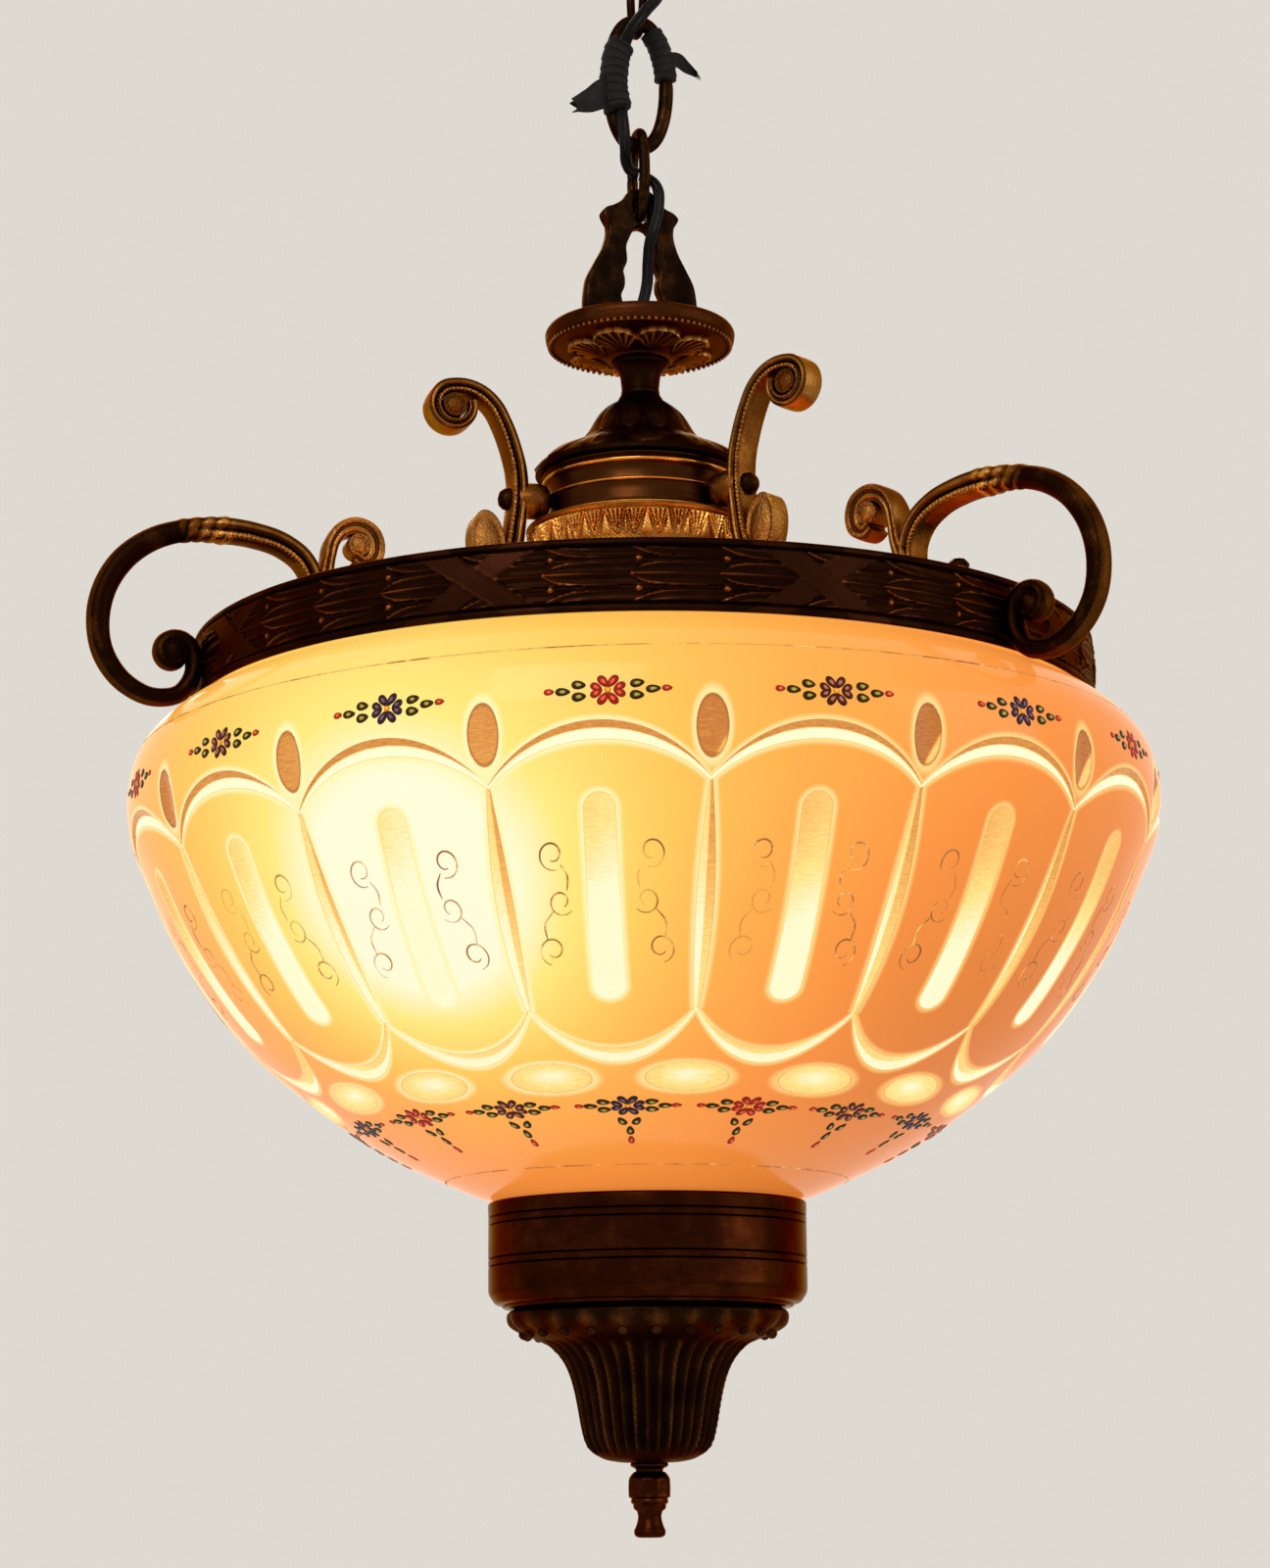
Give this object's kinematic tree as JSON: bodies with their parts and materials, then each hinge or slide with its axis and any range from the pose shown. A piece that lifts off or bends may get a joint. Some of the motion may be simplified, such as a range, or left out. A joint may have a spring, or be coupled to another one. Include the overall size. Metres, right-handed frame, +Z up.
{
  "type": "bowl chandelier",
  "caption": "Hanging bowl chandelier: cut and painted opal glass bowl with a brass rim ring, scrolled arms, dome body, chain links and a fluted finial below.",
  "frame": {"origin": "bearing point inside the top chain link, where a ceiling hook carries the lamp", "axes": "+Z up along the centre tube; -X along the left arm"},
  "size_m": [0.4233, 0.402, 0.6526],
  "materials": {
    "dark_bronze": "dark antique bronze, satin",
    "brown_brass": "brown lacquered brass, semi-gloss",
    "gold_brass": "cast brass, rubbed bright on the high spots",
    "red_bronze": "reddish cast bronze, rough",
    "opal_glass": "cream cased opal glass, cut, gilded and painted",
    "bulb_glass": "frosted bulb",
    "black_pvc": "black insulation",
    "rubber": "matt",
    "porcelain": "glazed",
    "steel": "zinc plated"
  },
  "bodies": {
    "ceiling_link": {"top_link": "dark_bronze", "terminal_block": "porcelain", "flex_upper": "black_pvc"},
    "main_link": {"main_link": "dark_bronze", "tape_left": "black_pvc", "tape_right": "black_pvc", "flex_middle": "black_pvc"},
    "eye_link": {"eye_link": "dark_bronze"},
    "lamp": {"flex_lower": "black_pvc", "yoke": "dark_bronze", "yoke_nut": "steel", "dish": "red_bronze", "neck_sleeve": "brown_brass", "dome_cover": "dark_bronze", "body_band": "brown_brass", "gallery_ring": "gold_brass", "base_plate": "brown_brass", "base_nut": "steel", "centre_tube": "steel", "arm_left": "gold_brass", "arm_screw_left": "gold_brass", "arm_nut_left": "steel", "ring_screw_left": "gold_brass", "ring_nut_left": "steel", "arm_right": "gold_brass", "arm_screw_right": "gold_brass", "arm_nut_right": "steel", "ring_screw_right": "gold_brass", "ring_nut_right": "steel", "arm_back": "gold_brass", "arm_screw_back": "gold_brass", "arm_nut_back": "steel", "ring_screw_back": "gold_brass", "ring_nut_back": "steel", "rim_ring": "brown_brass", "ring_gasket": "rubber", "glass_bowl": "opal_glass", "inner_washer": "steel", "inner_gasket": "rubber", "inner_nut": "steel", "outer_gasket": "rubber", "support_plate": "steel", "support_nut": "steel", "bottom_cup": "brown_brass", "bell": "dark_bronze", "finial": "brown_brass", "cluster_hub": "brown_brass", "hub_nut": "steel", "lampholder_left": "porcelain", "bulb_left": "bulb_glass", "lampholder_right": "porcelain", "bulb_right": "bulb_glass", "lampholder_back": "porcelain", "bulb_back": "bulb_glass"}
  },
  "joints": [
    {"name": "main_link_swing", "type": "hinge", "parent": "ceiling_link", "child": "main_link", "pos_m": [0, 0, -0.03925], "axis": [0, 1, 0], "range_deg": [-25, 25], "deforming": ["flex_upper"]},
    {"name": "eye_link_swing", "type": "hinge", "parent": "main_link", "child": "eye_link", "pos_m": [0, 0, -0.0883], "axis": [1, 0, 0], "range_deg": [-25, 25], "deforming": ["flex_middle"]},
    {"name": "yoke_swing", "type": "hinge", "parent": "eye_link", "child": "lamp", "pos_m": [0, 0, -0.11875], "axis": [0, 1, 0], "range_deg": [-20, 20], "deforming": ["flex_lower"]}
  ]
}
